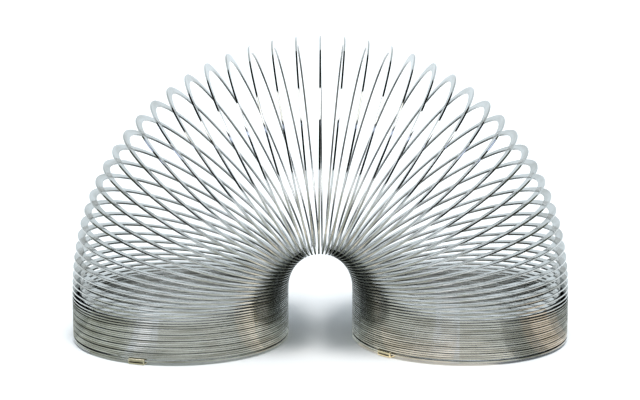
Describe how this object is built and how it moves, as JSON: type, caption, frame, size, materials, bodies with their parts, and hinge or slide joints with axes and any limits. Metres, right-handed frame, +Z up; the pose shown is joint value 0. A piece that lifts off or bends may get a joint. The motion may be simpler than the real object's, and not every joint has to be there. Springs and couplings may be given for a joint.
{
  "type": "spring coil toy",
  "caption": "Metal walking-spring desk toy: a long flat-wire coil bent into an arch on two stacked ends, each wire end held by a small crimped clip.",
  "frame": {"origin": "on the floor, midway between the two feet of the arch", "axes": "+Z up, +X from the left foot to the right foot, -Y towards the front, where both end clips are"},
  "size_m": [0.1574, 0.0686, 0.0961],
  "materials": {
    "spring_wire": "bright drawn flat spring-steel wire, polished by rolling",
    "end_clip": "thin plated sheet, crimped, slightly warm in tone"
  },
  "bodies": {
    "left_leg": {"left_leg_coil": "spring_wire", "left_end_clip": "end_clip"},
    "turn_01": {"coil_turn_01": "spring_wire"},
    "turn_02": {"coil_turn_02": "spring_wire"},
    "turn_03": {"coil_turn_03": "spring_wire"},
    "turn_04": {"coil_turn_04": "spring_wire"},
    "turn_05": {"coil_turn_05": "spring_wire"},
    "turn_06": {"coil_turn_06": "spring_wire"},
    "turn_07": {"coil_turn_07": "spring_wire"},
    "turn_08": {"coil_turn_08": "spring_wire"},
    "turn_09": {"coil_turn_09": "spring_wire"},
    "turn_10": {"coil_turn_10": "spring_wire"},
    "turn_11": {"coil_turn_11": "spring_wire"},
    "turn_12": {"coil_turn_12": "spring_wire"},
    "turn_13": {"coil_turn_13": "spring_wire"},
    "turn_14": {"coil_turn_14": "spring_wire"},
    "turn_15": {"coil_turn_15": "spring_wire"},
    "turn_16": {"coil_turn_16": "spring_wire"},
    "turn_17": {"coil_turn_17": "spring_wire"},
    "turn_18": {"coil_turn_18": "spring_wire"},
    "turn_19": {"coil_turn_19": "spring_wire"},
    "turn_20": {"coil_turn_20": "spring_wire"},
    "turn_21": {"coil_turn_21": "spring_wire"},
    "turn_22": {"coil_turn_22": "spring_wire"},
    "turn_23": {"coil_turn_23": "spring_wire"},
    "turn_24": {"coil_turn_24": "spring_wire"},
    "turn_25": {"coil_turn_25": "spring_wire"},
    "turn_26": {"coil_turn_26": "spring_wire"},
    "turn_27": {"coil_turn_27": "spring_wire"},
    "turn_28": {"coil_turn_28": "spring_wire"},
    "turn_29": {"coil_turn_29": "spring_wire"},
    "turn_30": {"coil_turn_30": "spring_wire"},
    "turn_31": {"coil_turn_31": "spring_wire"},
    "turn_32": {"coil_turn_32": "spring_wire"},
    "turn_33": {"coil_turn_33": "spring_wire"},
    "turn_34": {"coil_turn_34": "spring_wire"},
    "turn_35": {"coil_turn_35": "spring_wire"},
    "turn_36": {"coil_turn_36": "spring_wire"},
    "turn_37": {"coil_turn_37": "spring_wire"},
    "turn_38": {"coil_turn_38": "spring_wire"},
    "turn_39": {"coil_turn_39": "spring_wire"},
    "turn_40": {"coil_turn_40": "spring_wire"},
    "turn_41": {"coil_turn_41": "spring_wire"},
    "turn_42": {"coil_turn_42": "spring_wire"},
    "turn_43": {"coil_turn_43": "spring_wire"},
    "turn_44": {"coil_turn_44": "spring_wire"},
    "turn_45": {"coil_turn_45": "spring_wire"},
    "turn_46": {"coil_turn_46": "spring_wire"},
    "turn_47": {"coil_turn_47": "spring_wire"},
    "turn_48": {"coil_turn_48": "spring_wire"},
    "turn_49": {"coil_turn_49": "spring_wire"},
    "turn_50": {"coil_turn_50": "spring_wire"},
    "turn_51": {"coil_turn_51": "spring_wire"},
    "turn_52": {"coil_turn_52": "spring_wire"},
    "turn_53": {"coil_turn_53": "spring_wire"},
    "right_leg": {"right_leg_coil": "spring_wire", "right_end_clip": "end_clip"}
  },
  "joints": [
    {"name": "bend_01", "type": "hinge", "parent": "left_leg", "child": "turn_01", "pos_m": [-0.01141, 0, 0.01252], "axis": [0, 1, 0], "range_deg": [-0.1354, 0.0136], "stiffness_Nm_per_rad": 5},
    {"name": "bend_02", "type": "hinge", "parent": "turn_01", "child": "turn_02", "pos_m": [-0.01141, 0, 0.01314], "axis": [0, 1, 0], "range_deg": [-0.3326, 0.0333], "stiffness_Nm_per_rad": 5},
    {"name": "bend_03", "type": "hinge", "parent": "turn_02", "child": "turn_03", "pos_m": [-0.0114, 0, 0.01378], "axis": [0, 1, 0], "range_deg": [-0.5614, 0.0562], "stiffness_Nm_per_rad": 5},
    {"name": "bend_04", "type": "hinge", "parent": "turn_03", "child": "turn_04", "pos_m": [-0.01139, 0, 0.01444], "axis": [0, 1, 0], "range_deg": [-0.8119, 0.0812], "stiffness_Nm_per_rad": 5},
    {"name": "bend_05", "type": "hinge", "parent": "turn_04", "child": "turn_05", "pos_m": [-0.01137, 0, 0.01512], "axis": [0, 1, 0], "range_deg": [-1.08, 0.11], "stiffness_Nm_per_rad": 5},
    {"name": "bend_06", "type": "hinge", "parent": "turn_05", "child": "turn_06", "pos_m": [-0.01133, 0, 0.01581], "axis": [0, 1, 0], "range_deg": [-1.36, 0.14], "stiffness_Nm_per_rad": 5},
    {"name": "bend_07", "type": "hinge", "parent": "turn_06", "child": "turn_07", "pos_m": [-0.01128, 0, 0.01652], "axis": [0, 1, 0], "range_deg": [-1.64, 0.16], "stiffness_Nm_per_rad": 5},
    {"name": "bend_08", "type": "hinge", "parent": "turn_07", "child": "turn_08", "pos_m": [-0.0112, 0, 0.01725], "axis": [0, 1, 0], "range_deg": [-1.93, 0.19], "stiffness_Nm_per_rad": 5},
    {"name": "bend_09", "type": "hinge", "parent": "turn_08", "child": "turn_09", "pos_m": [-0.0111, 0, 0.018], "axis": [0, 1, 0], "range_deg": [-2.22, 0.22], "stiffness_Nm_per_rad": 5},
    {"name": "bend_10", "type": "hinge", "parent": "turn_09", "child": "turn_10", "pos_m": [-0.01097, 0, 0.01877], "axis": [0, 1, 0], "range_deg": [-2.52, 0.25], "stiffness_Nm_per_rad": 5},
    {"name": "bend_11", "type": "hinge", "parent": "turn_10", "child": "turn_11", "pos_m": [-0.01079, 0, 0.01954], "axis": [0, 1, 0], "range_deg": [-2.8, 0.28], "stiffness_Nm_per_rad": 5},
    {"name": "bend_12", "type": "hinge", "parent": "turn_11", "child": "turn_12", "pos_m": [-0.01058, 0, 0.02033], "axis": [0, 1, 0], "range_deg": [-3.09, 0.31], "stiffness_Nm_per_rad": 5},
    {"name": "bend_13", "type": "hinge", "parent": "turn_12", "child": "turn_13", "pos_m": [-0.01031, 0, 0.02112], "axis": [0, 1, 0], "range_deg": [-3.37, 0.34], "stiffness_Nm_per_rad": 5},
    {"name": "bend_14", "type": "hinge", "parent": "turn_13", "child": "turn_14", "pos_m": [-0.00999, 0, 0.02191], "axis": [0, 1, 0], "range_deg": [-3.63, 0.36], "stiffness_Nm_per_rad": 5},
    {"name": "bend_15", "type": "hinge", "parent": "turn_14", "child": "turn_15", "pos_m": [-0.00962, 0, 0.0227], "axis": [0, 1, 0], "range_deg": [-3.89, 0.39], "stiffness_Nm_per_rad": 5},
    {"name": "bend_16", "type": "hinge", "parent": "turn_15", "child": "turn_16", "pos_m": [-0.00918, 0, 0.02348], "axis": [0, 1, 0], "range_deg": [-4.13, 0.41], "stiffness_Nm_per_rad": 5},
    {"name": "bend_17", "type": "hinge", "parent": "turn_16", "child": "turn_17", "pos_m": [-0.00868, 0, 0.02423], "axis": [0, 1, 0], "range_deg": [-4.36, 0.44], "stiffness_Nm_per_rad": 5},
    {"name": "bend_18", "type": "hinge", "parent": "turn_17", "child": "turn_18", "pos_m": [-0.00811, 0, 0.02496], "axis": [0, 1, 0], "range_deg": [-4.57, 0.46], "stiffness_Nm_per_rad": 5},
    {"name": "bend_19", "type": "hinge", "parent": "turn_18", "child": "turn_19", "pos_m": [-0.00748, 0, 0.02565], "axis": [0, 1, 0], "range_deg": [-4.77, 0.48], "stiffness_Nm_per_rad": 5},
    {"name": "bend_20", "type": "hinge", "parent": "turn_19", "child": "turn_20", "pos_m": [-0.00679, 0, 0.0263], "axis": [0, 1, 0], "range_deg": [-4.95, 0.49], "stiffness_Nm_per_rad": 5},
    {"name": "bend_21", "type": "hinge", "parent": "turn_20", "child": "turn_21", "pos_m": [-0.00603, 0, 0.02689], "axis": [0, 1, 0], "range_deg": [-5.11, 0.51], "stiffness_Nm_per_rad": 5},
    {"name": "bend_22", "type": "hinge", "parent": "turn_21", "child": "turn_22", "pos_m": [-0.00521, 0, 0.02741], "axis": [0, 1, 0], "range_deg": [-5.24, 0.52], "stiffness_Nm_per_rad": 5},
    {"name": "bend_23", "type": "hinge", "parent": "turn_22", "child": "turn_23", "pos_m": [-0.00434, 0, 0.02786], "axis": [0, 1, 0], "range_deg": [-5.36, 0.54], "stiffness_Nm_per_rad": 5},
    {"name": "bend_24", "type": "hinge", "parent": "turn_23", "child": "turn_24", "pos_m": [-0.00343, 0, 0.02824], "axis": [0, 1, 0], "range_deg": [-5.45, 0.55], "stiffness_Nm_per_rad": 5},
    {"name": "bend_25", "type": "hinge", "parent": "turn_24", "child": "turn_25", "pos_m": [-0.00248, 0, 0.02852], "axis": [0, 1, 0], "range_deg": [-5.52, 0.55], "stiffness_Nm_per_rad": 5},
    {"name": "bend_26", "type": "hinge", "parent": "turn_25", "child": "turn_26", "pos_m": [-0.0015, 0, 0.02871], "axis": [0, 1, 0], "range_deg": [-5.57, 0.56], "stiffness_Nm_per_rad": 5},
    {"name": "left_half_bend", "type": "hinge", "parent": "turn_26", "child": "turn_27", "pos_m": [-0.0005, 0, 0.02881], "axis": [0, 1, 0], "range_deg": [-5.59, 0.56], "stiffness_Nm_per_rad": 5},
    {"name": "right_half_bend", "type": "hinge", "parent": "turn_27", "child": "turn_28", "pos_m": [0.0005, 0, 0.02881], "axis": [0, 1, 0], "range_deg": [-5.59, 0.56], "stiffness_Nm_per_rad": 5},
    {"name": "bend_29", "type": "hinge", "parent": "turn_28", "child": "turn_29", "pos_m": [0.00149, 0, 0.02871], "axis": [0, 1, 0], "range_deg": [-5.57, 0.56], "stiffness_Nm_per_rad": 5},
    {"name": "bend_30", "type": "hinge", "parent": "turn_29", "child": "turn_30", "pos_m": [0.00247, 0, 0.02852], "axis": [0, 1, 0], "range_deg": [-5.52, 0.55], "stiffness_Nm_per_rad": 5},
    {"name": "bend_31", "type": "hinge", "parent": "turn_30", "child": "turn_31", "pos_m": [0.00342, 0, 0.02824], "axis": [0, 1, 0], "range_deg": [-5.45, 0.55], "stiffness_Nm_per_rad": 5},
    {"name": "bend_32", "type": "hinge", "parent": "turn_31", "child": "turn_32", "pos_m": [0.00434, 0, 0.02786], "axis": [0, 1, 0], "range_deg": [-5.36, 0.54], "stiffness_Nm_per_rad": 5},
    {"name": "bend_33", "type": "hinge", "parent": "turn_32", "child": "turn_33", "pos_m": [0.00521, 0, 0.02741], "axis": [0, 1, 0], "range_deg": [-5.24, 0.52], "stiffness_Nm_per_rad": 5},
    {"name": "bend_34", "type": "hinge", "parent": "turn_33", "child": "turn_34", "pos_m": [0.00602, 0, 0.02689], "axis": [0, 1, 0], "range_deg": [-5.11, 0.51], "stiffness_Nm_per_rad": 5},
    {"name": "bend_35", "type": "hinge", "parent": "turn_34", "child": "turn_35", "pos_m": [0.00678, 0, 0.0263], "axis": [0, 1, 0], "range_deg": [-4.95, 0.49], "stiffness_Nm_per_rad": 5},
    {"name": "bend_36", "type": "hinge", "parent": "turn_35", "child": "turn_36", "pos_m": [0.00748, 0, 0.02565], "axis": [0, 1, 0], "range_deg": [-4.77, 0.48], "stiffness_Nm_per_rad": 5},
    {"name": "bend_37", "type": "hinge", "parent": "turn_36", "child": "turn_37", "pos_m": [0.00811, 0, 0.02496], "axis": [0, 1, 0], "range_deg": [-4.57, 0.46], "stiffness_Nm_per_rad": 5},
    {"name": "bend_38", "type": "hinge", "parent": "turn_37", "child": "turn_38", "pos_m": [0.00868, 0, 0.02423], "axis": [0, 1, 0], "range_deg": [-4.36, 0.44], "stiffness_Nm_per_rad": 5},
    {"name": "bend_39", "type": "hinge", "parent": "turn_38", "child": "turn_39", "pos_m": [0.00918, 0, 0.02348], "axis": [0, 1, 0], "range_deg": [-4.13, 0.41], "stiffness_Nm_per_rad": 5},
    {"name": "bend_40", "type": "hinge", "parent": "turn_39", "child": "turn_40", "pos_m": [0.00961, 0, 0.0227], "axis": [0, 1, 0], "range_deg": [-3.89, 0.39], "stiffness_Nm_per_rad": 5},
    {"name": "bend_41", "type": "hinge", "parent": "turn_40", "child": "turn_41", "pos_m": [0.00999, 0, 0.02191], "axis": [0, 1, 0], "range_deg": [-3.63, 0.36], "stiffness_Nm_per_rad": 5},
    {"name": "bend_42", "type": "hinge", "parent": "turn_41", "child": "turn_42", "pos_m": [0.01031, 0, 0.02112], "axis": [0, 1, 0], "range_deg": [-3.37, 0.34], "stiffness_Nm_per_rad": 5},
    {"name": "bend_43", "type": "hinge", "parent": "turn_42", "child": "turn_43", "pos_m": [0.01057, 0, 0.02033], "axis": [0, 1, 0], "range_deg": [-3.09, 0.31], "stiffness_Nm_per_rad": 5},
    {"name": "bend_44", "type": "hinge", "parent": "turn_43", "child": "turn_44", "pos_m": [0.01079, 0, 0.01954], "axis": [0, 1, 0], "range_deg": [-2.8, 0.28], "stiffness_Nm_per_rad": 5},
    {"name": "bend_45", "type": "hinge", "parent": "turn_44", "child": "turn_45", "pos_m": [0.01096, 0, 0.01877], "axis": [0, 1, 0], "range_deg": [-2.52, 0.25], "stiffness_Nm_per_rad": 5},
    {"name": "bend_46", "type": "hinge", "parent": "turn_45", "child": "turn_46", "pos_m": [0.0111, 0, 0.018], "axis": [0, 1, 0], "range_deg": [-2.22, 0.22], "stiffness_Nm_per_rad": 5},
    {"name": "bend_47", "type": "hinge", "parent": "turn_46", "child": "turn_47", "pos_m": [0.0112, 0, 0.01725], "axis": [0, 1, 0], "range_deg": [-1.93, 0.19], "stiffness_Nm_per_rad": 5},
    {"name": "bend_48", "type": "hinge", "parent": "turn_47", "child": "turn_48", "pos_m": [0.01128, 0, 0.01652], "axis": [0, 1, 0], "range_deg": [-1.64, 0.16], "stiffness_Nm_per_rad": 5},
    {"name": "bend_49", "type": "hinge", "parent": "turn_48", "child": "turn_49", "pos_m": [0.01133, 0, 0.01581], "axis": [0, 1, 0], "range_deg": [-1.36, 0.14], "stiffness_Nm_per_rad": 5},
    {"name": "bend_50", "type": "hinge", "parent": "turn_49", "child": "turn_50", "pos_m": [0.01136, 0, 0.01512], "axis": [0, 1, 0], "range_deg": [-1.08, 0.11], "stiffness_Nm_per_rad": 5},
    {"name": "bend_51", "type": "hinge", "parent": "turn_50", "child": "turn_51", "pos_m": [0.01139, 0, 0.01444], "axis": [0, 1, 0], "range_deg": [-0.8119, 0.0812], "stiffness_Nm_per_rad": 5},
    {"name": "bend_52", "type": "hinge", "parent": "turn_51", "child": "turn_52", "pos_m": [0.0114, 0, 0.01378], "axis": [0, 1, 0], "range_deg": [-0.5614, 0.0562], "stiffness_Nm_per_rad": 5},
    {"name": "bend_53", "type": "hinge", "parent": "turn_52", "child": "turn_53", "pos_m": [0.0114, 0, 0.01314], "axis": [0, 1, 0], "range_deg": [-0.3326, 0.0333], "stiffness_Nm_per_rad": 5},
    {"name": "bend_54", "type": "hinge", "parent": "turn_53", "child": "right_leg", "pos_m": [0.01141, 0, 0.01252], "axis": [0, 1, 0], "range_deg": [-0.1354, 0.0136], "stiffness_Nm_per_rad": 5}
  ],
  "couplings": [
    {"joint": "bend_01", "follows": "left_half_bend", "ratio": 0.0242},
    {"joint": "bend_02", "follows": "left_half_bend", "ratio": 0.05945},
    {"joint": "bend_03", "follows": "left_half_bend", "ratio": 0.10036},
    {"joint": "bend_04", "follows": "left_half_bend", "ratio": 0.14515},
    {"joint": "bend_05", "follows": "left_half_bend", "ratio": 0.19276},
    {"joint": "bend_06", "follows": "left_half_bend", "ratio": 0.24241},
    {"joint": "bend_07", "follows": "left_half_bend", "ratio": 0.29347},
    {"joint": "bend_08", "follows": "left_half_bend", "ratio": 0.34537},
    {"joint": "bend_09", "follows": "left_half_bend", "ratio": 0.39763},
    {"joint": "bend_10", "follows": "left_half_bend", "ratio": 0.44979},
    {"joint": "bend_11", "follows": "left_half_bend", "ratio": 0.50143},
    {"joint": "bend_12", "follows": "left_half_bend", "ratio": 0.55216},
    {"joint": "bend_13", "follows": "left_half_bend", "ratio": 0.6016},
    {"joint": "bend_14", "follows": "left_half_bend", "ratio": 0.64939},
    {"joint": "bend_15", "follows": "left_half_bend", "ratio": 0.69522},
    {"joint": "bend_16", "follows": "left_half_bend", "ratio": 0.73876},
    {"joint": "bend_17", "follows": "left_half_bend", "ratio": 0.77973},
    {"joint": "bend_18", "follows": "left_half_bend", "ratio": 0.81785},
    {"joint": "bend_19", "follows": "left_half_bend", "ratio": 0.85289},
    {"joint": "bend_20", "follows": "left_half_bend", "ratio": 0.88462},
    {"joint": "bend_21", "follows": "left_half_bend", "ratio": 0.91283},
    {"joint": "bend_22", "follows": "left_half_bend", "ratio": 0.93734},
    {"joint": "bend_23", "follows": "left_half_bend", "ratio": 0.95801},
    {"joint": "bend_24", "follows": "left_half_bend", "ratio": 0.9747},
    {"joint": "bend_25", "follows": "left_half_bend", "ratio": 0.98731},
    {"joint": "bend_26", "follows": "left_half_bend", "ratio": 0.99576},
    {"joint": "bend_29", "follows": "right_half_bend", "ratio": 0.99576},
    {"joint": "bend_30", "follows": "right_half_bend", "ratio": 0.98731},
    {"joint": "bend_31", "follows": "right_half_bend", "ratio": 0.9747},
    {"joint": "bend_32", "follows": "right_half_bend", "ratio": 0.95801},
    {"joint": "bend_33", "follows": "right_half_bend", "ratio": 0.93734},
    {"joint": "bend_34", "follows": "right_half_bend", "ratio": 0.91283},
    {"joint": "bend_35", "follows": "right_half_bend", "ratio": 0.88462},
    {"joint": "bend_36", "follows": "right_half_bend", "ratio": 0.85289},
    {"joint": "bend_37", "follows": "right_half_bend", "ratio": 0.81785},
    {"joint": "bend_38", "follows": "right_half_bend", "ratio": 0.77973},
    {"joint": "bend_39", "follows": "right_half_bend", "ratio": 0.73876},
    {"joint": "bend_40", "follows": "right_half_bend", "ratio": 0.69522},
    {"joint": "bend_41", "follows": "right_half_bend", "ratio": 0.64939},
    {"joint": "bend_42", "follows": "right_half_bend", "ratio": 0.6016},
    {"joint": "bend_43", "follows": "right_half_bend", "ratio": 0.55216},
    {"joint": "bend_44", "follows": "right_half_bend", "ratio": 0.50143},
    {"joint": "bend_45", "follows": "right_half_bend", "ratio": 0.44979},
    {"joint": "bend_46", "follows": "right_half_bend", "ratio": 0.39763},
    {"joint": "bend_47", "follows": "right_half_bend", "ratio": 0.34537},
    {"joint": "bend_48", "follows": "right_half_bend", "ratio": 0.29347},
    {"joint": "bend_49", "follows": "right_half_bend", "ratio": 0.24241},
    {"joint": "bend_50", "follows": "right_half_bend", "ratio": 0.19276},
    {"joint": "bend_51", "follows": "right_half_bend", "ratio": 0.14515},
    {"joint": "bend_52", "follows": "right_half_bend", "ratio": 0.10036},
    {"joint": "bend_53", "follows": "right_half_bend", "ratio": 0.05945},
    {"joint": "bend_54", "follows": "right_half_bend", "ratio": 0.0242}
  ]
}
